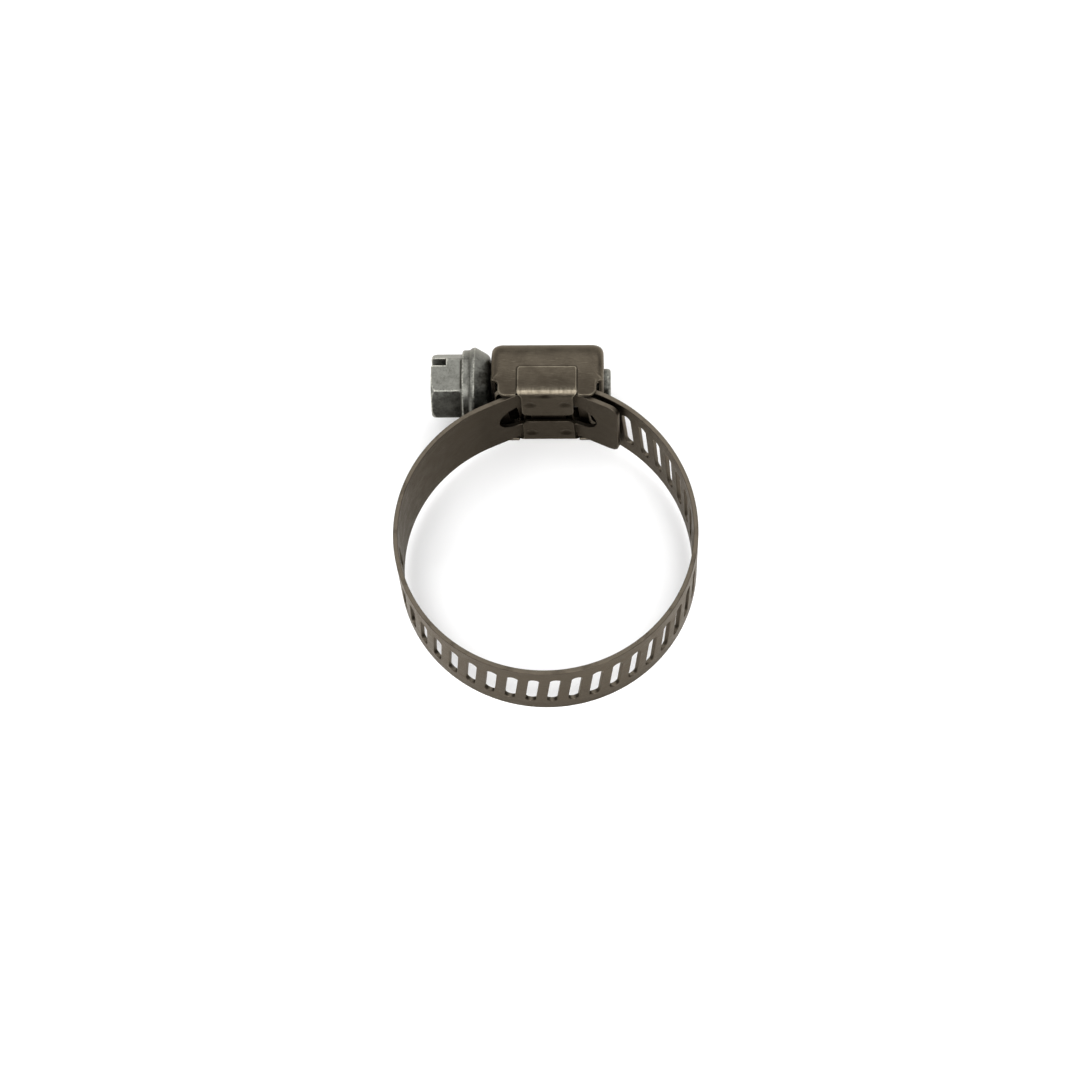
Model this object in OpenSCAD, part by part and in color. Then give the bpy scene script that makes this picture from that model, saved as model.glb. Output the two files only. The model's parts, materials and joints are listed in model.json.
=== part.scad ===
// Worm-drive hose clamp with a perforated band, drawn fully opened.
// +X runs along the screw from its head to its pilot tip, +Y from the bore to the
// housing, and +Z along the bore. The origin is the centre of the ring, half way
// up the band.
// The band is one flexible strip. It starts as the tongue under the housing, goes
// round the bore anticlockwise and ends as the tail between saddle and screw. So
// that it can bend, it is cut into short links: one run of them hangs from the fixed
// end, the other from the tail, and the two runs meet across a slightly wider gap.

/* [Ring] */
// Inside diameter of the opened ring
ring_d = 38; // [38:0.1:38.5]
// Radius of the curve from the ring's side up to the housing
side_r = 21.05; // [21:0.01:21.1]
// Radius on which the band runs through the housing
channel_r = 17.3; // [17.2:0.05:17.4]

/* [Band] */
// Width of the band
band_w = 12.7; // [12:0.1:12.9]
// Thickness of the band
band_t = 0.6; // [0.5:0.05:0.65]
// Distance from slot to slot, which is also the pitch of the screw thread
slot_pitch = 2.73; // [2.7:0.01:2.75]
// Length of a slot
slot_l = 7.8; // [6:0.1:8.5]
// Width of a slot
slot_w = 1.35; // [1.25:0.05:1.4]
// Lean of the slots, in degrees
slot_lean = 5.3; // [4:0.1:10]
// Number of links without slots, next to the housing on the screw-head side
plain_links = 4; // [0:1:8]
// Gap between two links
link_gap = 0.02; // [0.01:0.01:0.04]
// Gap where the two runs of links meet
meet_gap = 0.18; // [0.16:0.01:0.24]

/* [Housing] */
// Length of the housing along the screw
housing_l = 14.8; // [14.4:0.1:15]
// Length of the housing's lower flanks
flank_l = 12.9; // [12:0.1:13.4]
// Width of the housing along the bore
housing_w = 14.4; // [14.3:0.1:15]
// Thickness of the housing's sheet
sheet_t = 0.6; // [0.5:0.05:0.65]
// Radius of the dome's long edges
dome_r = 4.2; // [4:0.1:4.4]
// Width of the strap on each flank
strap_w = 7.9; // [7.2:0.1:8.4]
// Width of the tabs that fold under the band
tab_w = 6.9; // [6:0.1:7]
// Thickness of the tabs
tab_t = 0.5; // [0.4:0.05:0.5]
// Gap between the ends of the two tabs
tab_gap = 1.9; // [1:0.1:3]

/* [Screw] */
// Width of the hexagon head across its flats
hex_af = 7.94; // [7:0.01:8]
// Length of the hexagon
hex_l = 4.5; // [4:0.1:5]
// Diameter of the collar behind the hexagon
collar_d = 10.2; // [9.6:0.1:10.2]
// Outside diameter of the thread
thread_d = 5.9; // [5.7:0.05:5.9]
// Diameter of the thread's core and of the pilot tip
core_d = 4.4; // [4.2:0.05:4.4]
// Width of the screwdriver slot
driver_w = 1.3; // [1:0.1:1.6]
// Depth of the screwdriver slot
driver_h = 2; // [1:0.1:2.5]

/* [Hidden] */
$fn = 96;
ring_r = ring_d / 2;
half_w = band_w / 2;
link_l = 2 * slot_pitch;

// The fixed end: a flat over the tabs, a bend at each side, and two slopes that
// meet the ring as tangents.
tab_y = 18.66;
flat_y = tab_y + tab_t + 0.02;
flat_x = 3.7;
bend_r = 1.5;
corner_reach = norm([flat_x, flat_y]);
tangent_a = atan2(flat_y, flat_x) - acos(ring_r / corner_reach);
slope_a = 90 - tangent_a;
slope_l = sqrt(pow(corner_reach, 2) - pow(ring_r, 2));
bend_l = bend_r * tan(slope_a / 2);
tongue_a = 61;
tongue_corner_r = 1.4;
window_l = 13.6;
window_w = 5.6;
notch_depth = 0.5;
joint_overlap = 0.05;

// The moving band: the ring, then the side curve, then the curve through the
// housing, each a tangent to the one before, with the last centred over x = 0.
side_links = 4;
ring_step = link_l / (ring_r + band_t / 2) * 180 / PI;
side_step = link_l / (side_r + band_t / 2) * 180 / PI;
side_sweep = side_links * side_step;
grow = side_r - ring_r;
shrink = side_r - channel_r;
side_a = atan((shrink * cos(side_sweep) - grow) / (shrink * sin(side_sweep)));
channel_a = side_a + side_sweep;
side_c = (ring_r - side_r) * [cos(side_a), sin(side_a)];
channel_c = side_c + shrink * [cos(channel_a), sin(channel_a)];
channel_top = channel_c.y + channel_r;

// Links are numbered from the housing's head side round the bore to the tail.
ring_links = floor((side_a + 180 + tangent_a) / ring_step);
ring_a = side_a + 360 - ring_links * ring_step;
link_count = ring_links + side_links;
meet_link = 10; // the last link of the run that hangs from the fixed end
tail_slots = 6;
tail_margin = 0.8;
slot_step = slot_pitch / (channel_r + band_t / 2) * 180 / PI;
tail_a = tail_slots * slot_step + tail_margin / channel_r * 180 / PI;

// The screw
screw_y = channel_top + 3.05;
thread_l = 10.6;
thread_root = 0.95;
thread_crest = 0.5;
neck_d = thread_d + 0.1;
bearing_gap = 0.1;
collar_x = -housing_l / 2 - 0.2;
collar_neck_d = 7.8;
collar_cone_l = 2.1;
hex_x = -11;
tip_x = 8.3;
hex_turn = 33;
driver_turn = -25;
// The slot whose middle is nearest to x = 0, and the thread's turn that meets it
mesh_slot_a = channel_a + 3.5 * slot_step - 90;
mesh_x = -(channel_r + band_t / 2) * sin(mesh_slot_a);

// The housing
dome_y = screw_y + dome_r;
flank_y = 18.75;
flare_y = 20.9;
end_wall_y = 20;
strap_top = 22.9;
strap_z = housing_w / 2 + 0.25;
strap_r = 1.2;
cavity_w = housing_w - 2 * sheet_t;

steel = [0.40, 0.37, 0.32];
band_steel = [0.33, 0.30, 0.26];
zinc = [0.56, 0.57, 0.54];

function link_name(i) = str("band_link_", i < 10 ? "0" : "", i);

// Draws a (y, z) outline and extrudes it along X, half to each side.
module along_x(l) {
    rotate([90, 0, 90])
        linear_extrude(l, center = true) children();
}

// Draws an (x, z) outline and extrudes it along Y, half to each side.
module along_y(l) {
    rotate([90, 0, 0])
        linear_extrude(l, center = true) children();
}

// A cylinder along X from x0 to x1, on the screw's axis.
module screw_cylinder(x0, x1, d1, d2) {
    translate([x0, screw_y, 0])
        rotate([0, 90, 0])
            cylinder(h = x1 - x0, d1 = d1, d2 = d2);
}

// A rectangle with round corners.
module round_rect(w, h, r) {
    square([w - 2 * r, h], center = true);
    square([w, h - 2 * r], center = true);
    for (x = [-1, 1], y = [-1, 1])
        translate([x * (w / 2 - r), y * (h / 2 - r)]) circle(r);
}

// A slot with round ends, l long along X and w wide.
module obround(l, w) {
    square([l - w, w], center = true);
    for (x = [-1, 1])
        translate([x * (l - w) / 2, 0]) circle(d = w);
}

// A curved stretch of band about centre c, of inner radius r, from angle a0 to a1.
module band_arc(c, r, a0, a1) {
    translate([c.x, c.y, 0])
        rotate([0, 0, a0])
            rotate_extrude(angle = a1 - a0)
                translate([r, -half_w]) square([band_t, band_w]);
}

// The hole that the thread runs in, at angle a on a stretch about centre c.
module band_slot(c, r, a) {
    translate([c.x, c.y, 0])
        rotate([0, 0, a])
            translate([r + band_t / 2, 0, 0])
                rotate([-slot_lean, 0, 0])
                    rotate([0, 90, 0])
                        linear_extrude(3 * band_t, center = true) obround(slot_l, slot_w);
}

function gap_after(i) = i == meet_link ? meet_gap : link_gap;

// One link: a short curved stretch of band, cut short by half a gap at each end.
module link_arc(c, r, a0, step, slotted, gap0, gap1) {
    half_gap = [gap0, gap1] / 2 / r * 180 / PI;
    difference() {
        band_arc(c, r, a0 + half_gap[0], a0 + step - half_gap[1]);
        if (slotted) {
            band_slot(c, r, a0 + step / 4);
            band_slot(c, r, a0 + 3 * step / 4);
        }
    }
}

module band_link(i) {
    gap0 = gap_after(i - 1);
    gap1 = gap_after(i);
    color(band_steel)
        if (i <= ring_links)
            link_arc([0, 0], ring_r, ring_a + (i - 1) * ring_step, ring_step,
                i > plain_links, gap0, gap1);
        else
            link_arc(side_c, side_r, side_a + (i - ring_links - 1) * side_step, side_step,
                true, gap0, gap1);
}

// The free end of the band, inside the housing between the saddle and the screw.
module band_tail() {
    trim = link_gap / 2 / channel_r * 180 / PI;
    color(band_steel)
        difference() {
            band_arc(channel_c, channel_r, channel_a + trim, channel_a + tail_a);
            for (i = [0:tail_slots - 1])
                band_slot(channel_c, channel_r, channel_a + (i + 0.5) * slot_step);
        }
}

// One side of the fixed end, from the middle of the flat out to the ring. The slope
// is drawn upright where it leaves the ring, with the ring below and the bend above.
module fixed_half(end_a) {
    straight_l = slope_l - bend_l;
    translate([0, flat_y, -half_w]) cube([flat_x - bend_l + joint_overlap, band_t, band_w]);
    rotate([0, 0, tangent_a]) {
        translate([ring_r, 0, -half_w]) cube([band_t, straight_l, band_w]);
        band_arc([ring_r - bend_r, straight_l], bend_r, 0, slope_a);
        mirror([0, 1, 0]) band_arc([0, 0], ring_r, 0, tangent_a - end_a);
    }
}

// The square corners that are cut off the tongue to leave round ones.
module tongue_corners() {
    tip = (ring_r + band_t) * cos(tongue_a);
    along_y(6 * ring_r)
        difference() {
            translate([tip - tongue_corner_r, -band_w]) square([3, 2 * band_w]);
            translate([tip - 5, 0]) round_rect(10, band_w, tongue_corner_r);
            translate([tip - 5, 0]) square([10 - 2 * tongue_corner_r, 2 * band_w], center = true);
        }
}

module band_fixed_end() {
    trim = link_gap / 2 / ring_r * 180 / PI;
    color(band_steel)
        difference() {
            union() {
                fixed_half(tongue_a);
                mirror([1, 0, 0]) fixed_half(180 - ring_a + trim);
            }
            translate([0, ring_r, 0]) along_y(8) obround(window_l, window_w);
            for (z = [-1, 1])
                translate([0, flat_y, z * half_w])
                    cube([tab_w + 0.5, 4 * band_t, 2 * notch_depth], center = true);
            translate([0, 3 * ring_r, 0]) tongue_corners();
        }
}

// The formed strip that the tail slides on. Its lug sits in the window.
module saddle() {
    base_y = flat_y + band_t + 0.02;
    lug = [4.6, band_t - 0.05, window_w - 0.8];
    color(steel) {
        intersection() {
            translate([0, base_y + 2, 0]) cube([6.6, 4, band_w - 0.3], center = true);
            translate([channel_c.x, channel_c.y, -half_w])
                cylinder(h = band_w, r = channel_r - 0.1);
        }
        translate([-lug.x / 2, base_y - lug.y, -lug.z / 2]) cube([lug.x, lug.y + 0.1, lug.z]);
    }
}

// The (y, z) outline of the dome and flanks, w wide with dome corners of radius r.
module dome_outline(w, r, bottom) {
    flat_z = w / 2 - r;
    for (z = [-1, 1])
        translate([screw_y, z * flat_z]) circle(r);
    translate([screw_y, -flat_z]) square([r, 2 * flat_z]);
    translate([bottom, -w / 2]) square([screw_y - bottom, w]);
}

// The side view of the housing: flanks with round lower corners, a step out to the
// full length, and round upper corners.
module side_outline() {
    flank_r = 0.9;
    step_r = 0.5;
    top_r = 1.6;
    flank_h = flare_y - flank_y + 1;
    translate([0, flank_y + flank_h / 2]) round_rect(flank_l, flank_h, flank_r);
    translate([0, flare_y + top_r]) round_rect(housing_l, 2 * top_r, step_r);
    translate([0, (flare_y + dome_y) / 2]) round_rect(housing_l, dome_y - flare_y, top_r);
}

// The shell that covers the screw: two flanks, a dome and two end walls. The band
// passes below the end walls, which hold the screw's neck and pilot.
module shell() {
    below = 4;
    way_h = end_wall_y - flank_y + below;
    difference() {
        intersection() {
            along_x(housing_l) dome_outline(housing_w, dome_r, flank_y);
            linear_extrude(2 * housing_w, center = true) side_outline();
        }
        along_x(housing_l - 2 * sheet_t)
            dome_outline(cavity_w, dome_r - sheet_t, flank_y - below);
        translate([0, end_wall_y - way_h / 2, 0])
            cube([2 * housing_l, way_h, cavity_w], center = true);
        screw_cylinder(-housing_l, 0, neck_d + 2 * bearing_gap, neck_d + 2 * bearing_gap);
        screw_cylinder(0, housing_l, core_d + 2 * bearing_gap, core_d + 2 * bearing_gap);
    }
}

// One strap: a raised pad down the flank that turns under the band as a tab.
module strap() {
    pad_z = housing_w / 2 - sheet_t;
    along_x(strap_w)
        difference() {
            translate([tab_y, pad_z]) square([strap_top - tab_y, strap_z - pad_z]);
            translate([tab_y, strap_z - strap_r])
                difference() {
                    square(strap_r);
                    translate([strap_r, 0]) circle(strap_r);
                }
        }
    along_x(tab_w)
        translate([tab_y, tab_gap / 2]) square([tab_t, pad_z - tab_gap / 2]);
}

module housing() {
    color(steel) {
        shell();
        strap();
        mirror([0, 0, 1]) strap();
    }
}

// Points of the thread's four-sided section after turning by angle a.
function thread_section(a) =
    let (x = slot_pitch * a / 360, root = core_d / 2 - 0.15, crest = thread_d / 2)
    [for (p = [[-thread_root, root], [-thread_crest, crest], [thread_crest, crest], [thread_root, root]])
        [x + p.x / 2, p.y * cos(a), p.y * sin(a)]];

// A right-hand thread, as a section swept along its helix.
module thread() {
    turns = (thread_l - thread_root) / slot_pitch;
    per_turn = 48;
    n = ceil(turns * per_turn);
    a0 = -turns * 180;
    points = [for (i = [0:n]) each thread_section(a0 + i * turns * 360 / n)];
    sides = [for (i = [0:n - 1], j = [0:3])
        let (k = (j + 1) % 4)
        [4 * i + j, 4 * i + k, 4 * i + 4 + k, 4 * i + 4 + j]];
    ends = [[3, 2, 1, 0], [4 * n, 4 * n + 1, 4 * n + 2, 4 * n + 3]];
    polyhedron(points, concat(ends, sides));
}

module worm_screw() {
    color(zinc) {
        // turned so that its lowest crest stands in the middle slot
        translate([mesh_x, screw_y, 0]) rotate([180, 0, 0]) thread();
        screw_cylinder(-thread_l / 2 - 0.4, tip_x, core_d, core_d);
        screw_cylinder(collar_x - 0.1, -thread_l / 2 - 0.2, neck_d, neck_d);
        screw_cylinder(collar_x - collar_cone_l, collar_x, collar_d, collar_neck_d);
        screw_cylinder(hex_x, collar_x - collar_cone_l, collar_d, collar_d);
        hex_head();
    }
}

module hex_head() {
    hex_ac = hex_af / cos(30);
    chamfer = 0.5;
    end_x = hex_x - hex_l;
    difference() {
        intersection() {
            translate([end_x, screw_y, 0])
                rotate([0, 90, 0]) rotate([0, 0, hex_turn])
                    cylinder(h = hex_l + 0.1, d = hex_ac, $fn = 6);
            screw_cylinder(end_x, hex_x + 0.1, hex_ac - 2 * chamfer, hex_ac + 2 * hex_l);
        }
        translate([end_x, screw_y, 0])
            rotate([driver_turn, 0, 0])
                cube([2 * driver_h, driver_w, 2 * hex_ac], center = true);
    }
}

housing();
saddle();
worm_screw();
band_fixed_end();
band_tail();
for (i = [1:link_count])
    band_link(i);
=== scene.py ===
import json
import math

import bpy
import numpy as np
from mathutils import Matrix, Vector
from mathutils.geometry import delaunay_2d_cdt

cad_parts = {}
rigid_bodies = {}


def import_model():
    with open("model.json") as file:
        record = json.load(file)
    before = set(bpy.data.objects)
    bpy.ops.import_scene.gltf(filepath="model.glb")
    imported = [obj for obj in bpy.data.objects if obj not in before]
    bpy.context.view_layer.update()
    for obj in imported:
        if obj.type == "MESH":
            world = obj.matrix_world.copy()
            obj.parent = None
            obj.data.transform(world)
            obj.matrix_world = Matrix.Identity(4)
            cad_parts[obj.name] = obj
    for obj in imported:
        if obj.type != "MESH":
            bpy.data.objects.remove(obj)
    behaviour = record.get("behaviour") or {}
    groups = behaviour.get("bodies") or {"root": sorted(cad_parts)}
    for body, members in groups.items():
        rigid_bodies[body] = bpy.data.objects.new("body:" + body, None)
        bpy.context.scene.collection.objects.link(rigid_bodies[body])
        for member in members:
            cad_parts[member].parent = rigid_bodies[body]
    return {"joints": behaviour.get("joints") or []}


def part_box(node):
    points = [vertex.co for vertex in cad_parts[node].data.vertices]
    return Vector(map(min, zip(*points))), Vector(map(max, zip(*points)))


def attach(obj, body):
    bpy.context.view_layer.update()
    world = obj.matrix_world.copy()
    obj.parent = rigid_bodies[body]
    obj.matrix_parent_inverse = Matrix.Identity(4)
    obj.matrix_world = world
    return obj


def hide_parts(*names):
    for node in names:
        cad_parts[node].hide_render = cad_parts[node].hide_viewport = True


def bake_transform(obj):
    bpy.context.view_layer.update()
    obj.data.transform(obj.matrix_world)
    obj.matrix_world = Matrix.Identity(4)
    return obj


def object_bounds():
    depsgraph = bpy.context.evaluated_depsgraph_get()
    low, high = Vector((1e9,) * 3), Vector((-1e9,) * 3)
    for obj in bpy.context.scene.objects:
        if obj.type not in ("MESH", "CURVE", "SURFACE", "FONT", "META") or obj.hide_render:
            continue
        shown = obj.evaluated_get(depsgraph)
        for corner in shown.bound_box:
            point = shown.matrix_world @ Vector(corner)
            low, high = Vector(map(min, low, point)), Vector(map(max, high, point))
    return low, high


for stray in list(bpy.data.objects):
    bpy.data.objects.remove(stray)

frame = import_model()
cad_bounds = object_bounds()
MM = 0.001

# ---------------------------------------------------------------- sizes, in mm


def node_box(node):
    """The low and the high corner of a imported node's box."""
    low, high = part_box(node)
    return np.array(low) / MM, np.array(high) / MM


def circle_through(a, b, c):
    """Centre and radius of the circle through three points."""
    rows = np.array([b - a, c - a])
    centre = np.linalg.solve(rows, [(b @ b - a @ a) / 2, (c @ c - a @ a) / 2])
    return centre, float(np.linalg.norm(a - centre))


def polar(v):
    """The angle of a direction."""
    return math.atan2(v[1], v[0])


place = {j["name"]: np.array(j["pos_m"][:2]) / MM for j in frame["joints"]}
screw_y = place["screw_turn"][1]

house_low, house_high = node_box("housing")
screw_low, screw_high = node_box("worm_screw")
fixed_low, fixed_high = node_box("band_fixed_end")
saddle_low, saddle_high = node_box("saddle")

half_w = (fixed_high[2] - fixed_low[2]) / 2
band_t = 0.6
slot_pitch = 2.73
slot_l, slot_w = 7.8, 1.35
slot_lean = math.tan(math.radians(5.3))
link_count, plain_links, meet_link = 19, 4, 10
link_l = 2 * slot_pitch
tail_slots, tail_margin = 6, 0.816

# The moving band follows three arcs: the ring, the side curve up to the housing, and
# the curve through the housing. The hinges lie on their inner faces.
ring_r = float(np.linalg.norm(place["bend_01"]))
ring_start = polar(place["bend_01"])
side_c, side_r = circle_through(*(place[f"bend_{i}"] for i in (16, 18, 20)))
side_start = polar(place["bend_16"] - side_c)
channel_c = place["tail_turn"]
channel_r = float(np.linalg.norm(place["bend_20"] - channel_c))
channel_start = polar(place["bend_20"] - channel_c)

# ---------------------------------------------------------------- signed distances


def smooth_max(a, b, k):
    """Intersection of two solids, with the edge between them rounded over about k."""
    h = np.maximum(k - np.abs(a - b), 0) / k
    return np.maximum(a, b) + h * h * k / 4


def smooth_min(a, b, k):
    """Union of two solids, with the corner between them filled over about k."""
    return -smooth_max(-a, -b, k)


def round_box(x, y, half_x, half_y, r):
    """Distance to a rectangle with corners of radius r."""
    dx, dy = np.abs(x) - half_x + r, np.abs(y) - half_y + r
    outside = np.hypot(np.maximum(dx, 0), np.maximum(dy, 0))
    return np.minimum(np.maximum(dx, dy), 0) + outside - r


def between(x, low, high):
    """Distance to the slab from low to high."""
    return np.maximum(low - x, x - high)


def ramp(x, a, b):
    """0 before a, 1 after b, smooth between."""
    t = np.clip((x - a) / (b - a), 0, 1)
    return t * t * (3 - 2 * t)


def slope_of(solid, p, eps):
    """Which way and how fast a signed distance grows at each point."""
    g = np.empty_like(p)
    for i in range(3):
        step = np.zeros(3)
        step[i] = eps
        g[:, i] = solid(*(p + step).T) - solid(*(p - step).T)
    return g / (2 * eps)


def unit(v):
    return v / np.maximum(np.linalg.norm(v, axis=-1, keepdims=True), 1e-9)


def surface_of(solid, low, high, step):
    """Points and quads of a solid's surface, from its signed distance on a grid: one
    point in each cell that the surface crosses, moved onto the surface."""
    axes = [np.arange(a - 2 * step, b + 3 * step, step) for a, b in zip(low, high)]
    d = solid(*np.meshgrid(*axes, indexing="ij"))
    origin = np.array([a[0] for a in axes])
    inside = d < 0
    corners = [(i, j, k) for i in (0, 1) for j in (0, 1) for k in (0, 1)]

    def at(a, c):
        return a[tuple(slice(o, n - 1 + o) for o, n in zip(c, a.shape))]

    count = sum(at(inside, c).astype(np.int8) for c in corners)
    cells = np.argwhere((count > 0) & (count < 8))
    total, hits = np.zeros((len(cells), 3)), np.zeros(len(cells))
    for c0 in corners:
        for axis in range(3):
            if c0[axis]:
                continue
            c1 = tuple(1 if i == axis else v for i, v in enumerate(c0))
            d0 = d[tuple((cells + c0).T)]
            d1 = d[tuple((cells + c1).T)]
            cross = (d0 < 0) != (d1 < 0)
            t = np.where(cross, d0 / np.where(cross, d0 - d1, 1), 0)
            p = np.array(c0) + t[:, None] * (np.array(c1) - np.array(c0))
            total += np.where(cross[:, None], p, 0)
            hits += cross
    points = origin + (cells + total / hits[:, None]) * step

    number = -np.ones(count.shape, np.int64)
    number[tuple(cells.T)] = np.arange(len(cells))
    quads = []
    for a in range(3):
        b, c = (a + 1) % 3, (a + 2) % 3
        lower = inside.take(range(inside.shape[a] - 1), axis=a)
        upper = inside.take(range(1, inside.shape[a]), axis=a)
        edges = np.argwhere(lower != upper)
        db, dc = np.eye(3, dtype=int)[b], np.eye(3, dtype=int)[c]
        around = (db + dc, dc, 0 * db, db)
        quad = np.stack([number[tuple((edges - o).T)] for o in around], axis=1)
        flip = ~lower[tuple(edges.T)]
        quad[flip] = quad[flip][:, ::-1]
        quads.append(quad)

    for _ in range(2):
        g = slope_of(solid, points, 0.02)
        move = solid(*points.T)[:, None] * g / np.maximum((g * g).sum(1), 0.25)[:, None]
        points = points - np.clip(move, -step / 2, step / 2)
    return points, np.concatenate(quads)


# ---------------------------------------------------------------- meshes


def make_object(name, points, faces, normals, **fields):
    """A smooth mesh from points in mm, with its normals and its named point fields."""
    mesh = bpy.data.meshes.new(name)
    mesh.from_pydata((np.asarray(points) * MM).tolist(), [], [list(f) for f in faces])
    mesh.polygons.foreach_set("use_smooth", [True] * len(mesh.polygons))
    for key, value in fields.items():
        value = np.asarray(value, np.float32)
        if value.ndim == 1:
            mesh.attributes.new(key, "FLOAT", "POINT").data.foreach_set("value", value)
        else:
            field = mesh.attributes.new(key, "FLOAT_VECTOR", "POINT")
            field.data.foreach_set("vector", value.ravel())
    mesh.normals_split_custom_set_from_vertices(np.asarray(normals).tolist())
    o = bpy.data.objects.new(name, mesh)
    bpy.context.scene.collection.objects.link(o)
    return o


def sculpted(name, solid, soot, low, high, step):
    """The object of a signed distance, with two point fields: the surface's curvature, and
    the painted shade on it, which below 0 is a painted highlight."""
    points, quads = surface_of(solid, low, high, step)
    normals = unit(slope_of(solid, points, 0.03))
    reach = 0.16
    shifts = [s * reach * np.eye(3)[i] for i in range(3) for s in (-1, 1)]
    around = sum(solid(*(points + shift).T) for shift in shifts)
    worn = (around - 6 * solid(*points.T)) / reach
    return make_object(name, points, quads, normals, worn=np.clip(worn, -1, 1),
                       soot=np.clip(soot(*points.T), -1, 1))


# ---------------------------------------------------------------- housing

sheet_t = 0.6
press_r = 0.14  # rounding of the sheet's cut edges
deep = 15  # half the size of an outline of which only one side is used

# The shell: flanks down to flank_y, a step out to the full length at flare_y, a dome
# with long edges of radius dome_r, and end walls down to wall_y.
house_half = house_high[0]
house_w = 7.2
dome_y, dome_r = house_high[1], 4.2
flank_half, flank_y, flank_r = 6.45, 18.75, 0.9
flare_y, flare_r = 20.9, 0.5
end_y, end_r = 24, 1.6
step_fill = 0.7
edge_r_low, edge_r_high, edge_y_low, edge_y_high = 0.2, 1.5, 20.6, 22.4
cavity_r = 0.7
wall_y = 20.0
neck_hole, pilot_hole, hole_r = 3.1, 2.3, 0.25

# The straps: raised pads that bend over the flanks' lower edges into the two tabs.
strap_half, strap_z, strap_top = 3.95, house_high[2], 22.9
strap_bend_r, strap_fill = 1.25, 0.5
strap_gap, strap_gap_y = 0.1, 19.5
tab_half, tab_y, tab_t, tab_end, tab_r = 3.45, house_low[1], 0.5, 0.95, 1.1
narrow_from, narrow_to = house_w - 0.75, house_w - 0.05
dent_x, dent_z, dent_r, dent_h = 2.3, 4.3, 1.6, 1.42


def housing_shell(x, y, z):
    across = round_box(z, y - dome_y + deep, house_w, deep, dome_r)
    middle_y, half_y = (dome_y + flare_y) / 2, (dome_y - flare_y) / 2
    upper = round_box(x, y - middle_y, house_half, half_y, np.where(y > end_y, end_r, flare_r))
    lower = round_box(x, y - flank_y - 3, flank_half, 3, flank_r)
    side = smooth_min(upper, lower, step_fill)
    edge_r = edge_r_low + (edge_r_high - edge_r_low) * ramp(y, edge_y_low, edge_y_high)
    outer = smooth_max(across, side, edge_r)
    cavity = smooth_max(
        round_box(z, y - dome_y + deep + sheet_t, house_w - sheet_t, deep, dome_r - sheet_t),
        np.abs(x) - house_half + sheet_t, cavity_r)
    way = np.maximum(np.abs(z) - house_w + sheet_t, y - wall_y)
    beside_strap = round_box(x, y - strap_gap_y + 4, strap_half + strap_gap, 4, 0.3)
    hole = np.hypot(y - screw_y, z) - np.where(x < 0, neck_hole, pilot_hole)
    shell = smooth_max(outer, -cavity, press_r)
    shell = smooth_max(shell, -way, press_r)
    shell = smooth_max(shell, -beside_strap, press_r)
    return smooth_max(shell, -hole, hole_r)


def housing_strap(x, y, z):
    z = np.abs(z)
    pad = np.maximum(house_w - sheet_t - z, y - strap_top)
    tab = np.maximum(y - tab_y - tab_t, tab_end - z)
    bend = round_box(z - strap_z + deep, y - tab_y - deep, deep, deep, strap_bend_r)
    body = smooth_max(smooth_min(pad, tab, strap_fill), bend, 0.1)
    half = tab_half + (strap_half - tab_half) * ramp(z, narrow_from, narrow_to)
    body = smooth_max(body, np.abs(x) - half, press_r)
    tab_corner = round_box(x, z - tab_end - deep, tab_half + 0.05, deep, tab_r)
    body = smooth_max(body, tab_corner - ramp(z, 3.5, 5.5), press_r)
    top = round_box(x, y - strap_top + deep, strap_half, deep, 0.5)
    body = smooth_max(body, top, 0.2)
    for s in (-1, 1):
        off = np.sqrt((x - s * dent_x) ** 2 + (y - tab_y + dent_h) ** 2 + (z - dent_z) ** 2)
        body = smooth_max(body, dent_r - off, 0.12)
    return body


def housing(x, y, z):
    return smooth_min(housing_shell(x, y, z), housing_strap(x, y, z), 0.32)


def housing_soot(x, y, z):
    """Painted shade on the tabs and their dents, most on the lower tab. The flanks are
    thinly darker towards their lower parts. The strap's bend gets a painted highlight,
    with a painted dark reflection in its middle."""
    low_tab = 0.26 * (z < 0)
    z = np.abs(z)
    on_tab = ramp(-y, -19.5, -18.95) * ramp(-z, -6.9, -6.0)
    dents = sum(np.exp(-((x - s * dent_x) ** 2 + (z - dent_z) ** 2) / 0.5) for s in (-1, 1))
    tabs = (0.62 + low_tab) * on_tab + 0.5 * dents * (y < 19.4)
    skirt = 0.35 * ramp(-y, -22.8, -20.4)
    dark_reflection = 0.8 * np.exp(-((x + 0.3) / 0.8) ** 2 - ((z - 6.6) / 0.35) ** 2) * (y < 19.6)
    on_strap = (z > 6.3) * (np.abs(x) < strap_half)
    bend_highlight = 0.85 * np.exp(-((y - 19.35) / 0.42) ** 2) * on_strap
    return np.maximum(tabs, skirt * (1 - bend_highlight)) + dark_reflection - bend_highlight


# ---------------------------------------------------------------- screw

hex_end, hex_x, hex_flat = screw_low[0], -11.0, 3.97
hex_turn, driver_turn = math.radians(33.2), math.radians(65)
driver_half, driver_depth = 0.65, 2.0
chamfer_r = hex_flat / math.cos(math.pi / 6) - 0.5
washer_r, washer_x, washer_half = 4.75, -10.85, 0.55
collar_r, collar_x, collar_half = 5.1, -9.05, 1.42
cone_x, cone_slope = -9.7, 0.57
neck_r, neck_x, neck_half = 3.0, -6.8, 1.3
core_r, core_start, tip_x = 2.2, -7, screw_high[0]
thread_r, thread_half, run_out = 2.95, 5.3, 0.9
root_half, flank_slope = 0.475, 0.25

# The thread is turned so that a crest stands in the slot nearest to the middle.
mesh_turn = channel_start + 3.5 * slot_pitch / (channel_r + band_t / 2) - math.pi / 2
mesh_x = -(channel_r + band_t / 2) * math.sin(mesh_turn)


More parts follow.
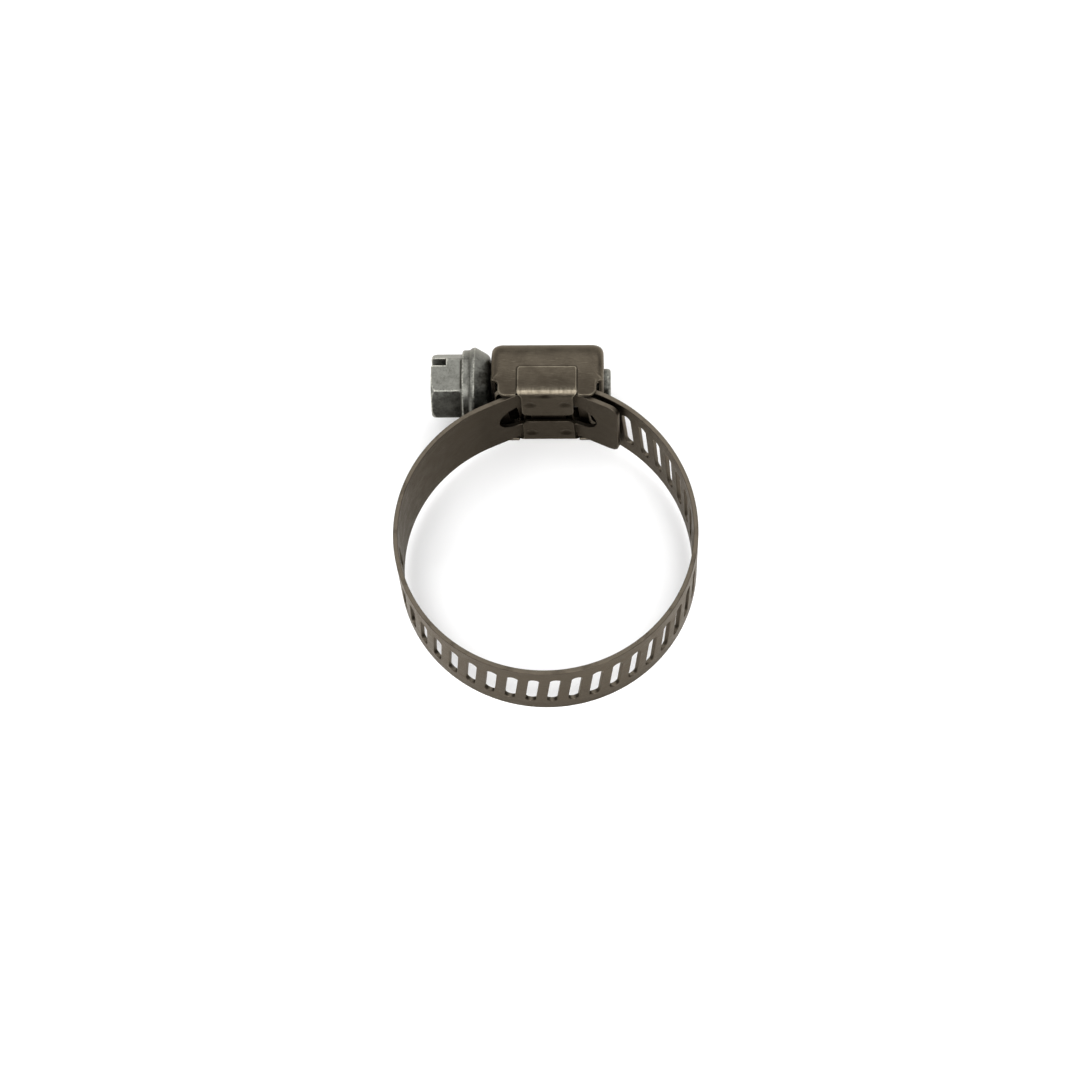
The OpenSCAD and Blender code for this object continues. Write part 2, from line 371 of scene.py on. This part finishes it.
def screw_head(x, y, z, r):
    facets = []
    for k in range(3):
        a = hex_turn + k * math.pi / 3
        facets.append(np.abs(y * math.cos(a) + z * math.sin(a)) - hex_flat)
    head = smooth_max(smooth_max(facets[0], facets[1], 0.22), facets[2], 0.22)
    head = smooth_max(head, between(x, hex_end, hex_x + 0.2), 0.15)
    head = smooth_max(head, (r - chamfer_r + hex_end - x) * math.sqrt(0.5), 0.12)
    across = np.abs(z * math.cos(driver_turn) - y * math.sin(driver_turn)) - driver_half
    slot = np.maximum(across, x - hex_end - driver_depth)
    return smooth_max(head, -slot, 0.14)


def screw_thread(x, r, turn_at):
    phase = (x - mesh_x) / slot_pitch - (turn_at - math.pi) / (2 * math.pi)
    off = np.abs(phase - np.round(phase)) * slot_pitch
    wide = root_half - (r - core_r + 0.15) * flank_slope
    from_middle = np.abs(x - mesh_x)
    fade = 0.8 * ramp(from_middle, thread_half - run_out, thread_half)
    ridge = smooth_max(r - thread_r + fade, (off - wide) * 0.95, 0.12)
    return np.maximum(ridge, from_middle - thread_half)


def screw(x, y, z):
    y = y - screw_y
    r = np.hypot(y, z)
    washer = smooth_max(r - washer_r, np.abs(x - washer_x) - washer_half, 0.3)
    cone = (r - collar_r + np.maximum(x - cone_x, 0) * cone_slope) * 0.87
    collar = smooth_max(cone, np.abs(x - collar_x) - collar_half, 0.75)
    neck = smooth_max(r - neck_r, np.abs(x - neck_x) - neck_half, 0.15)
    core = smooth_max(r - core_r, between(x, core_start, tip_x), 0.5)
    body = smooth_min(screw_head(x, y, z, r), washer, 0.25)
    body = smooth_min(body, collar, 0.18)
    body = smooth_min(body, smooth_min(neck, core, 0.2), 0.25)
    return smooth_min(body, screw_thread(x, r, np.arctan2(z, y)), 0.12)


def screw_soot(x, y, z):
    """Painted shade behind the collar and in the groove before it."""
    behind_collar = ramp(x, -8.3, -7.6) * ramp(-x, -8.5, -6.5)
    return 0.7 * behind_collar + 0.5 * np.exp(-((x + 10.4) / 0.25) ** 2)


# ---------------------------------------------------------------- saddle

lug_x, lug_z, lug_r = 2.3, 2.4, 0.5


def saddle(x, y, z):
    outline = round_box(x, z, saddle_high[0], saddle_high[2], 0.8)
    body = smooth_max(outline, np.hypot(x, y - channel_c[1]) - channel_r + 0.1, 0.12)
    body = smooth_max(body, fixed_high[1] + 0.02 - y, 0.12)
    lug = np.maximum(round_box(x, z, lug_x, lug_z, lug_r),
                     between(y, saddle_low[1], fixed_high[1] + 0.2))
    return smooth_min(body, lug, 0.1)


# The saddle is painted dark all over: painted shade, as it lies inside the housing.
def saddle_soot(x, y, z):
    return np.full_like(x, 0.7)


# ---------------------------------------------------------------- band

band_soft = 0.09  # rounding of the band's stamped edges
neutral = band_t / 2  # height of the layer that keeps its length in a bend

# The fixed end starts with the round tongue, follows the ring, steps out to the flat
# part that the housing is folded over, and comes back to the ring in the same way.
tongue_a, tongue_r = math.radians(61), 1.4
flat_x, flat_y, bend_r = 3.7, fixed_high[1] - band_t, 1.5
window_l, window_w = 13.6, 5.6
notch_l, notch_w = 7.4, 0.5
ring_links, side_links = 15, 4
tail_corner = 0.8

# Both slopes are tangents of the ring and of the bend beside the flat part.
slope_end = math.hypot(flat_x, flat_y)
tangent_a = math.atan2(flat_y, flat_x) - math.acos(ring_r / slope_end)
bend_l = bend_r * math.tan((math.pi / 2 - tangent_a) / 2)
slope_l = math.sqrt(slope_end**2 - ring_r**2) - bend_l
bend_x, bend_y = flat_x - bend_l, flat_y - bend_r


def arc(c, r, a0, a1):
    """A stretch round c, with radius r at its inner face, from angle a0 to a1."""
    return ("arc", np.array(c, float), r, a0, (a1 - a0) * (r + neutral))


def straight(p, a, length):
    """A stretch from p in the direction a."""
    return ("line", np.array(p, float), 0, a, length)


def at_angle(x, y, r, a):
    return (x + r * math.cos(a), y + r * math.sin(a))


low_link = ring_start + ring_links * link_l / (ring_r + neutral)
path = [
    arc((0, 0), ring_r, tongue_a, tangent_a),
    straight(at_angle(0, 0, ring_r, tangent_a), tangent_a + math.pi / 2, slope_l),
    arc((bend_x, bend_y), bend_r, tangent_a, math.pi / 2),
    straight((bend_x, flat_y), math.pi, 2 * bend_x),
    arc((-bend_x, bend_y), bend_r, math.pi / 2, math.pi - tangent_a),
    straight(at_angle(-bend_x, bend_y, bend_r, math.pi - tangent_a),
             math.pi * 1.5 - tangent_a, slope_l),
    arc((0, 0), ring_r, math.pi - tangent_a, ring_start),
    arc((0, 0), ring_r, ring_start, low_link),
    arc(side_c, side_r, side_start, side_start + side_links * link_l / (side_r + neutral)),
    arc(channel_c, channel_r, channel_start, math.pi),
]
starts = np.concatenate([[0], np.cumsum([p[4] for p in path])])
middle = (starts[3] + starts[4]) / 2
first_link = starts[7]
first_slot = first_link + plain_links * link_l + slot_pitch / 2
tail_end = starts[9] + (tail_slots * slot_pitch + tail_margin)


def on_path(s, h):
    """Where a point s along the band and h above its inner face lies, with the
    directions along the band and out of it."""
    s, h = np.asarray(s, float), np.asarray(h, float)
    out = np.zeros((len(s), 2))
    along, away = np.zeros_like(out), np.zeros_like(out)
    which = np.clip(np.searchsorted(starts, s, side="right") - 1, 0, len(path) - 1)
    for k, (kind, p, r, a0, _) in enumerate(path):
        m = which == k
        u = s[m] - starts[k]
        if kind == "arc":
            a = a0 + u / (r + neutral)
            away[m] = np.stack([np.cos(a), np.sin(a)], 1)
            along[m] = np.stack([-np.sin(a), np.cos(a)], 1)
            out[m] = p + (r + h[m])[:, None] * away[m]
        else:
            d = np.array([math.cos(a0), math.sin(a0)])
            along[m], away[m] = d, (d[1], -d[0])
            out[m] = p + u[:, None] * d + h[m][:, None] * away[m]
    return out, along, away


def inside_loop(points, loop):
    """Which points lie inside a closed loop."""
    x, y = points[:, 0:1], points[:, 1:2]
    x0, y0 = loop[:, 0], loop[:, 1]
    x1, y1 = np.roll(x0, -1), np.roll(y0, -1)
    span = (y0 <= y) != (y1 <= y)
    rise = np.where(y1 == y0, 1, y1 - y0)
    return (span & (x < x0 + (y - y0) / rise * (x1 - x0))).sum(1) % 2 == 1


def in_sheet(points, rings):
    """Which points lie inside the outline, the first ring, and in none of the holes."""
    keep = inside_loop(points, rings[0])
    for hole in rings[1:]:
        keep &= ~inside_loop(points, hole)
    return keep


def inset_of(loop, rim):
    """How each point of a loop moves for 1 mm of inset at the rims, and the way it
    faces there. The point before edge i is point i, and rim[i] says if the edge is one."""
    edge = np.roll(loop, -1, 0) - loop
    normal = unit(np.stack([edge[:, 1], -edge[:, 0]], 1))
    before = np.roll(normal, 1, 0)
    f1, f0 = rim.astype(float), np.roll(rim, 1).astype(float)
    det = before[:, 0] * normal[:, 1] - before[:, 1] * normal[:, 0]
    smooth = -(before + normal) / (1 + (before * normal).sum(1))[:, None]
    safe = np.where(np.abs(det) < 1e-6, 1, det)
    solved = np.stack([
        (-f0 * normal[:, 1] + f1 * before[:, 1]) / safe,
        (-f1 * before[:, 0] + f0 * normal[:, 0]) / safe], 1)
    both = (f0 > 0) & (f1 > 0)
    neither = (f0 == 0) & (f1 == 0)
    inset = np.where(both[:, None], smooth, solved)
    inset[neither] = 0
    facing = unit(before * f0[:, None] + normal * f1[:, None] + 1e-9)
    return inset, facing


def edge_profile():
    """(inset, height, outward, up) round a rim, from the inner to the outer face."""
    rows = []
    for a in np.linspace(0, 90, 4):
        c, s = math.cos(math.radians(a)), math.sin(math.radians(a))
        rows.append((band_soft * (1 - s), band_soft * (1 - c), s, -c))
    rows += [(d, band_t - h, o, -u) for d, h, o, u in rows[::-1]]
    return rows


def triangulated(rings, columns):
    """Points and triangles of the sheet between its rings, in the sheet's own plane."""
    rows = np.arange(-half_w + 0.5, half_w - 0.3, 0.9)
    fill = np.array([(u + v * slot_lean, v) for u in columns for v in rows])
    keep = in_sheet(fill, rings)
    for ring in rings:
        gap = np.min(np.linalg.norm(fill[:, None] - ring[None], axis=2), axis=1)
        keep &= gap > 0.2
    flat = np.concatenate(rings + [fill[keep]])
    edges, base = [], 0
    for ring in rings:
        n = len(ring)
        edges += [(base + i, base + (i + 1) % n) for i in range(n)]
        base += n
    made = delaunay_2d_cdt([Vector(p) for p in flat], edges, [], 0, 1e-7)
    origin = np.array([o[0] for o in made[3]])
    tris = np.array([[origin[i] for i in f] for f in made[2]])
    tris = tris[in_sheet(flat[tris].mean(1), rings)]
    a, b, c = flat[tris[:, 0]], flat[tris[:, 1]], flat[tris[:, 2]]
    ab, ac = b - a, c - a
    wrong = ab[:, 0] * ac[:, 1] - ab[:, 1] * ac[:, 0] < 0
    tris[wrong] = tris[wrong][:, ::-1]
    return flat, tris


def flat_strip(loops, columns):
    """A sheet with round edges. loops are (points, which edges are rims), the outline
    first; columns are the places along the band that the surface is divided at. Returns
    the points, their heights, normals and rim field, and the faces."""
    insets = [inset_of(points, rim) for points, rim in loops]
    flat, tris = triangulated(
        [p + inset * band_soft for (p, _), (inset, _) in zip(loops, insets)], columns)
    n = len(flat)
    uv = [flat, flat]
    high = [np.zeros(n), np.full(n, band_t)]
    normal = [np.tile([0, 0, -1.0], (n, 1)), np.tile([0, 0, 1.0], (n, 1))]
    rim_field = [np.zeros(n), np.zeros(n)]
    faces = [list(f) for block in (tris[:, ::-1], tris + n) for f in block]
    base, offset = 2 * n, 0
    for (points, _), (inset, facing) in zip(loops, insets):
        m = len(points)
        ring_at = [np.arange(m) + offset]
        for d, h, o, up in edge_profile()[1:-1]:
            uv.append(points + inset * d)
            high.append(np.full(m, h))
            normal.append(np.concatenate([facing * o, np.full((m, 1), up)], 1))
            rim_field.append(np.full(m, o))
            ring_at.append(np.arange(m) + base)
            base += m
        ring_at.append(np.arange(m) + offset + n)
        for lower, upper in zip(ring_at, ring_at[1:]):
            for i in range(m):
                j = (i + 1) % m
                faces.append([lower[i], lower[j], upper[j], upper[i]])
        offset += m
    return (np.concatenate(uv), np.concatenate(high), unit(np.concatenate(normal)),
            np.concatenate(rim_field), faces)


def slot_loop(s):
    """A slot's outline, clockwise, so that its inside counts as outside the sheet."""
    half = slot_l / 2 - slot_w / 2
    a = np.linspace(0, math.pi, 9)
    top = np.stack([slot_w / 2 * np.cos(a), half + slot_w / 2 * np.sin(a)], 1)
    side = np.stack([np.full(9, -slot_w / 2), np.linspace(half, -half, 11)[1:-1]], 1)
    loop = np.concatenate([top, side, -top, -side])
    lean = math.atan(slot_lean)
    c, t = math.cos(lean), math.sin(lean)
    loop = np.stack([loop[:, 0] * c + loop[:, 1] * t, loop[:, 1] * c - loop[:, 0] * t], 1)
    return (loop + (s, 0))[::-1], np.ones(len(loop), bool)


def window_loop():
    """The window's outline with its round ends, clockwise."""
    half = (window_l - window_w) / 2
    a = np.linspace(-math.pi / 2, math.pi / 2, 15)
    end = np.stack([half + window_w / 2 * np.cos(a), window_w / 2 * np.sin(a)], 1)
    n = int(2 * half / 0.25)
    side = np.stack([np.linspace(half, -half, n)[1:-1], np.full(n - 2, window_w / 2)], 1)
    loop = np.concatenate([end, side, -end, -side])
    return (loop + (middle, 0))[::-1], np.ones(len(loop), bool)


def corner(u, v, r, a0, count):
    """A quarter circle of points round (u, v), from the angle a0 in degrees."""
    return [at_angle(u, v, r, math.radians(a)) for a in np.linspace(a0, a0 + 90, count)]


def long_side(start, end, columns, sign):
    """The points of one long side of a stretch, with the notch beside the housing."""
    tongue, tail = start <= 0, end >= tail_end
    edge_v, notch_v = sign * half_w, sign * (half_w - notch_w)
    lean = edge_v * slot_lean
    first = start + (tongue_r if tongue else lean)
    last = end - (tail_corner if tail else -lean)
    inner = [u + (0 if tongue else lean) for u in columns if start + 0.15 < u < end - 0.15]
    places = sorted({u for u in [first] + inner + [last] if first <= u <= last})
    side = [(u, notch_v if abs(u - middle) < notch_l / 2 else edge_v) for u in places]
    if tongue:
        notch = [middle - notch_l / 2, middle + notch_l / 2]
        side = [p for p in side if min(abs(p[0] - u) for u in notch) > 0.12]
        for u, step in zip(notch, (0.02, -0.02)):
            side += [(u, edge_v), (u + step, notch_v)]
    return sorted(side)


def outline(start, end, columns):
    """The outline of a stretch, anticlockwise: rims along the band, and at each end a
    leaning cut, the round tongue or the tail's square end."""
    bottom = long_side(start, end, columns, -1)
    top = long_side(start, end, columns, 1)
    across = np.linspace(-half_w, half_w, 15)[1:-1]
    runs = [(bottom[:-1], True)]
    if end >= tail_end:
        u, v = end - tail_corner, half_w - tail_corner
        runs += [(corner(u, -v, tail_corner, -90, 7), True),
                 ([(end, w) for w in np.linspace(-v, v, 14)[1:-1]], True),
                 (corner(u, v, tail_corner, 0, 7), True)]
    else:
        runs += [(bottom[-1:] + [(end + w * slot_lean, w) for w in across], False),
                 (top[-1:], True)]
    runs.append((top[-2:0:-1], True))
    if start <= 0:
        u, v = start + tongue_r, half_w - tongue_r
        runs += [(corner(u, v, tongue_r, 90, 9), True),
                 ([(start, w) for w in np.linspace(v, -v, 12)[1:-1]], True),
                 (corner(u, -v, tongue_r, 180, 9)[:-1], True)]
    else:
        runs.append((top[:1] + [(start + w * slot_lean, w) for w in across[::-1]], False))
    loop = [point for points, _ in runs for point in points]
    rim = [is_rim for points, is_rim in runs for _ in points]
    return np.array(loop, float), np.array(rim)


def columns_between(start, end):
    """Places along the band, closer together where it bends sharply."""
    out = []
    for k, (kind, _, r, _, _) in enumerate(path):
        a, b = max(start, starts[k]), min(end, starts[k + 1])
        if b <= a:
            continue
        step = 0.1 if kind == "arc" and r < 5 else 0.34
        out += list(np.linspace(a, b, max(1, round((b - a) / step)) + 1)[:-1])
    return out + [end]


def strip(name, start, end):
    """One piece of the band, from start to end along it."""
    columns = columns_between(start, end)
    loops = [outline(start, end, columns)]
    if start <= 0:
        loops.append(window_loop())
    for s in np.arange(first_slot, tail_end, slot_pitch):
        if start + 0.5 < s < min(end, tail_end - 0.5) - 0.5:
            loops.append(slot_loop(s))
    uv, high, normal, rim, faces = flat_strip(loops, columns)
    xy, along, away = on_path(uv[:, 0], high)
    turned = np.column_stack([
        along * normal[:, 0:1] + away * normal[:, 2:3], normal[:, 1]])
    return make_object(name, np.column_stack([xy, uv[:, 1]]), faces, unit(turned),
                       rim=rim, sheet=np.column_stack([uv, high]))


def place_on(s):
    """The place s along the band, in metres."""
    xy, _, _ = on_path(np.array([s]), np.array([neutral]))
    return (xy[0, 0] * MM, xy[0, 1] * MM, 0)


# ---------------------------------------------------------------- materials


class Nodes:
    """Builds a material's node tree in a few words."""

    def __init__(self, name):
        self.material = bpy.data.materials.new(name)
        self.material.use_nodes = True
        self.tree = self.material.node_tree
        self.shader = self.tree.nodes["Principled BSDF"]

    def feed(self, socket, value):
        """Links a socket, or sets its own value."""
        if isinstance(value, bpy.types.NodeSocket):
            self.tree.links.new(value, socket)
        else:
            socket.default_value = value

    def add(self, kind, inputs=None, **settings):
        node = self.tree.nodes.new(kind)
        for key, value in settings.items():
            setattr(node, key, value)
        for key, value in (inputs or {}).items():
            self.feed(node.inputs[key], value)
        return node

    def field(self, name, output="Fac"):
        return self.add("ShaderNodeAttribute", attribute_name=name).outputs[output]

    def place_in_mm(self):
        where = self.add("ShaderNodeTexCoord").outputs["Object"]
        return self.add("ShaderNodeVectorMath", {0: where, 1: (1000, 1000, 1000)},
                        operation="MULTIPLY").outputs[0]

    def noise(self, coords, scale, detail=3, rough=0.55, stretch=(1, 1, 1)):
        at = self.add("ShaderNodeMapping", {"Vector": coords, "Scale": stretch})
        return self.add("ShaderNodeTexNoise", {
            "Vector": at.outputs[0], "Scale": scale, "Detail": detail,
            "Roughness": rough}).outputs["Fac"]

    def ranged(self, value, low, high, to_low, to_high):
        """low to high becomes to_low to to_high, and what lies outside is clamped."""
        return self.add("ShaderNodeMapRange", {
            "Value": value, "From Min": low, "From Max": high,
            "To Min": to_low, "To Max": to_high}).outputs[0]

    def mix(self, fac, a, b):
        """a where fac is 0 and b where it is 1; a colour may be a tuple."""
        node = self.add("ShaderNodeMix", data_type="RGBA")
        for index, value in ((0, fac), (6, a), (7, b)):
            self.feed(node.inputs[index], (*value, 1) if isinstance(value, tuple) else value)
        return node.outputs[2]

    def math(self, operation, a, b):
        node = self.add("ShaderNodeMath", operation=operation)
        self.feed(node.inputs[0], a)
        self.feed(node.inputs[1], b)
        return node.outputs[0]

    def weighed(self, *pairs):
        """The sum of values, each times its weight."""
        total = None
        for value, weight in pairs:
            term = self.math("MULTIPLY", value, weight)
            total = term if total is None else self.math("ADD", total, term)
        return total

    def metal(self, colour, rough, height, bump, glance):
        """Joins up the shader of a metal. glance is its colour at grazing angles."""
        self.feed(self.shader.inputs["Base Color"], colour)
        self.feed(self.shader.inputs["Roughness"], rough)
        node = self.add("ShaderNodeBump", {"Height": height, "Strength": bump,
                                           "Distance": 0.00003})
        self.feed(self.shader.inputs["Normal"], node.outputs[0])
        self.shader.inputs["Metallic"].default_value = 1.0
        self.shader.inputs["Specular Tint"].default_value = (*glance, 1)
        return self.material


def band_painted_shade(n, coords, rim):
    """Painted shade on the band: on its inner face, along its lower edge and near the
    housing, fading out from 9 to 15 mm along the band, and hardly any on its cut edges."""
    along, across, height = n.add("ShaderNodeSeparateXYZ", {0: coords}).outputs[:3]
    from_housing = n.math("ABSOLUTE", n.math("SUBTRACT", along, middle), 0.0)
    shading = n.math("MAXIMUM", n.ranged(height, 0.02, 0.1, 0.58, 0),
                 n.ranged(across, -6.3, -4, 0.6, 0))
    shading = n.math("MAXIMUM", shading, n.ranged(from_housing, 9, 15, 0.82, 0))
    return n.math("MULTIPLY", shading, n.ranged(rim, 0, 0.5, 1, 0.15))


def rolled_steel(name, base, dark, edge, soot, stretch, is_band):
    """Stainless sheet: grain along the sheet, blotches, hairline scratches, brighter edges
    that are partly wear and partly painted highlight, and painted shade. On the band the grain
    follows the strip itself."""
    n = Nodes(name)
    coords = n.field("sheet", "Vector") if is_band else n.place_in_mm()
    blotch = n.noise(coords, scale=0.45, detail=5, rough=0.62)
    grain = n.noise(coords, scale=5.0, detail=3, rough=0.6, stretch=stretch)
    fine = n.noise(coords, scale=14.0, detail=2, rough=0.5)
    hair = n.noise(coords, scale=6.0, detail=2, rough=0.5,
                   stretch=(stretch[0] * 0.4, stretch[1] * 2, stretch[2] * 2))
    tone = n.weighed((blotch, 0.5), (grain, 0.28), (fine, 0.22))
    colour = n.mix(n.ranged(tone, 0.42, 0.58, 0, 1), dark, base)
    colour = n.mix(n.ranged(hair, 0.64, 0.74, 0, 0.6), colour, edge)
    # Brighter rims and convex edges: partly wear, partly painted highlight.
    worn = n.field("rim" if is_band else "worn")
    patchy = n.math("MULTIPLY", worn, n.ranged(blotch, 0.35, 0.6, 0.45, 1))
    colour = n.mix(n.ranged(patchy, 0.15, 0.75, 0, 1), colour, edge)
    if is_band:
        shading = band_painted_shade(n, coords, worn)
    else:
        shading = n.field("soot")
        # Below 0 the housing's field is a painted highlight on the strap's bend, broken by
        # streaks.
        streaks = n.noise(coords, scale=1.1, detail=3, rough=0.6, stretch=(2.6, 0.5, 0.5))
        painted_highlight = n.math("MULTIPLY", n.ranged(shading, 0, -1, 0, 1),
                        n.ranged(streaks, 0.38, 0.6, 0.35, 1))
        colour = n.mix(painted_highlight, colour, edge)
        # Painted shade in the housing's hollows.
        colour = n.mix(n.ranged(worn, -0.45, -1.0, 0, 0.6), colour, soot)
    # Painted shade, as strong as the band's or the housing's shade field says.
    shading = n.math("MULTIPLY", n.math("MAXIMUM", shading, 0.0),
                 n.ranged(blotch, 0.3, 0.7, 1.15, 0.85))
    colour = n.mix(shading, colour, soot)
    rough = n.ranged(n.math("ADD", grain, blotch), 0.7, 1.3, 0.3, 0.52)
    bumps = n.weighed((grain, 0.7), (fine, 0.3))
    return n.metal(colour, rough, bumps, bump=0.4, glance=(0.8, 0.75, 0.68))


def zinc_plate(name, base, dark, edge, soot):
    """Dull zinc plate on a cold-headed screw: mottled, with brighter edges that are partly
    wear and partly painted highlight, and painted shade in its hollows and behind the collar.
    """
    n = Nodes(name)
    coords = n.place_in_mm()
    blotch = n.noise(coords, scale=0.8, detail=5, rough=0.65)
    pits = n.noise(coords, scale=3.2, detail=4, rough=0.68)
    fine = n.noise(coords, scale=11.0, detail=3, rough=0.6)
    tone = n.weighed((blotch, 0.55), (pits, 0.45))
    colour = n.mix(n.ranged(tone, 0.34, 0.6, 0, 1), dark, base)
    worn = n.field("worn")
    # Brighter convex edges: partly wear, partly painted highlight.
    patchy = n.math("MULTIPLY", worn, n.ranged(pits, 0.35, 0.6, 0.4, 1))
    colour = n.mix(n.ranged(patchy, 0.2, 0.95, 0, 0.8), colour, edge)
    # Painted shade in the hollows, then where the screw's shade field says.
    colour = n.mix(n.ranged(worn, -0.1, -0.6, 0, 0.85), colour, soot)
    shading = n.math("MULTIPLY", n.math("MAXIMUM", n.field("soot"), 0.0),
                 n.ranged(pits, 0.3, 0.7, 1.1, 0.7))
    colour = n.mix(shading, colour, soot)
    rough = n.ranged(n.math("ADD", blotch, pits), 0.7, 1.3, 0.32, 0.56)
    bumps = n.weighed((pits, 0.65), (fine, 0.35))
    return n.metal(colour, rough, bumps, bump=0.55, glance=(0.9, 0.88, 0.82))


# In each metal the last colour is the painted shade, and the edge colour also paints
# highlights.
housing_mat = rolled_steel("housing_steel", base=(0.074, 0.062, 0.046),
                           dark=(0.046, 0.038, 0.028), edge=(0.19, 0.165, 0.125),
                           soot=(0.014, 0.0105, 0.0072), stretch=(0.25, 1.6, 1.6),
                           is_band=False)
# The band's colours are darker than the housing's, partly as painted shade on its upright
# faces.
band_mat = rolled_steel("band_steel", base=(0.058, 0.047, 0.035),
                        dark=(0.024, 0.019, 0.014), edge=(0.092, 0.078, 0.060),
                        soot=(0.0090, 0.0066, 0.0046), stretch=(0.12, 2.2, 2.2),
                        is_band=True)
screw_mat = zinc_plate("screw_zinc", base=(0.175, 0.175, 0.157),
                       dark=(0.085, 0.084, 0.074), edge=(0.60, 0.59, 0.52),
                       soot=(0.026, 0.024, 0.019))

# ---------------------------------------------------------------- pieces


def dress(o, material, body=None, replaced=()):
    o.data.materials.append(material)
    if body:
        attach(o, body)
    if replaced:
        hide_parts(*replaced)
    return o


grid = 0.125
dress(sculpted("housing_formed", housing, housing_soot, house_low, house_high, grid),
      housing_mat, "housing_group", ["housing"])
dress(sculpted("worm_screw_turned", screw, screw_soot, screw_low, screw_high, grid),
      screw_mat, "screw", ["worm_screw"])
dress(sculpted("saddle_formed", saddle, saddle_soot, saddle_low, saddle_high, grid),
      housing_mat, "housing_group", ["saddle"])

reach_of_bend = 1.4  # how far to each side of a hinge, in mm, the places below are taken


def body_name(i):
    return "housing_group" if i == 0 else "tail" if i > link_count else f"link_{i:02d}"


def node_name(i):
    return "band_tail" if i > link_count else f"band_link_{i:02d}"


# A piece runs from the middle of one link to the middle of the next, with the hinge
# between them. Between links 10 and 11 there is no hinge: two pieces meet there.
for i in range(1, link_count + 2):
    hinge = first_link + (i - 1) * link_l
    start = 0 if i == 1 else hinge - link_l / 2
    end = tail_end if i > link_count else hinge + link_l / 2
    replaced = [node_name(i)] + (["band_fixed_end"] if i == 1 else [])
    if i == meet_link + 1:
        near = strip("band_11_near", start, hinge)
        far = strip("band_11_far", hinge, end)
        dress(near, band_mat, body_name(i - 1))
        dress(far, band_mat, body_name(i), replaced)
        continue
    piece = strip(f"band_{i:02d}", start, end)
    place_on(hinge - reach_of_bend)
    place_on(hinge + reach_of_bend)
    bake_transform(piece)
    dress(piece, band_mat, replaced=replaced)

# ---------------------------------------------------------------- stage, light, camera

floor_z = cad_bounds[0][2] - 0.00002
floor_half = 3.0
floor_mesh = bpy.data.meshes.new("floor")
floor_corners = [(floor_half * x, floor_half * y, floor_z)
                 for x, y in ((-1, -1), (1, -1), (1, 1), (-1, 1))]
floor_mesh.from_pydata(floor_corners, [], [(0, 1, 2, 3)])
floor = bpy.data.objects.new("floor", floor_mesh)
bpy.context.scene.collection.objects.link(floor)
paper = Nodes("paper")
paper_tone = paper.noise(paper.add("ShaderNodeTexCoord").outputs["Object"], 30, 2)
paper.feed(paper.shader.inputs["Base Color"],
           paper.mix(paper.ranged(paper_tone, 0.3, 0.7, 0, 1), (0.93, 0.93, 0.93),
                     (0.95, 0.95, 0.95)))
paper.shader.inputs["Roughness"].default_value = 0.95
floor_mesh.materials.append(paper.material)

world = bpy.data.worlds.new("studio")
bpy.context.scene.world = world
world.use_nodes = True
sky = world.node_tree.nodes["Background"]
sky.inputs["Color"].default_value = (1, 1, 1, 1)
sky.inputs["Strength"].default_value = 0.8


def softbox(name, direction, distance, wide, high, power):
    """A rectangular lamp that looks at the origin, in metres and watts."""
    light = bpy.data.lights.new(name, "AREA")
    light.shape, light.size, light.size_y, light.energy = "RECTANGLE", wide, high, power
    o = bpy.data.objects.new(name, light)
    at = Vector(direction).normalized() * distance
    o.location = at
    o.rotation_euler = at.to_track_quat("Z", "Y").to_euler()
    bpy.context.scene.collection.objects.link(o)


softbox("front_top", (0.05, -0.62, 0.80), distance=0.9, wide=0.8, high=0.5, power=4)
softbox("front_low", (0.12, -0.87, 0.50), distance=0.9, wide=0.5, high=0.25, power=4)
softbox("left", (-0.9, -0.1, 0.75), distance=1.1, wide=0.5, high=0.5, power=3)
softbox("right_back", (0.7, 0.8, 0.9), distance=1.2, wide=0.5, high=0.5, power=2)
softbox("behind_top", (-0.03, 0.60, 0.80), distance=0.9, wide=0.9, high=1.0, power=4.2)

# The camera looks steeply down on the ring, a little from its right and slightly rolled.
azimuth, elevation, roll = math.radians(5), math.radians(67.6), math.radians(-4.77)
distance, sensor_mm, lens_mm = 0.372, 36, 95.2333
aim_up, aim_left = 0.00118488, 0.00089843  # from the ring's centre to the aim, in metres
back = Vector((math.sin(azimuth) * math.cos(elevation),
               -math.cos(azimuth) * math.cos(elevation), math.sin(elevation)))
level = Vector((math.cos(azimuth), math.sin(azimuth), 0))
upward = back.cross(level)
right = level * math.cos(roll) + upward * math.sin(roll)
up = upward * math.cos(roll) - level * math.sin(roll)
aim = up * aim_up - right * aim_left
lens = bpy.data.cameras.new("camera")
lens.sensor_width, lens.lens, lens.clip_start = sensor_mm, lens_mm, 0.01
camera = bpy.data.objects.new("camera", lens)
camera.matrix_world = Matrix.Translation(aim + back * distance) @ Matrix(
    (right, up, back)).transposed().to_4x4()
bpy.context.scene.collection.objects.link(camera)
bpy.context.scene.camera = camera
bpy.context.scene.view_settings.view_transform = "Standard"
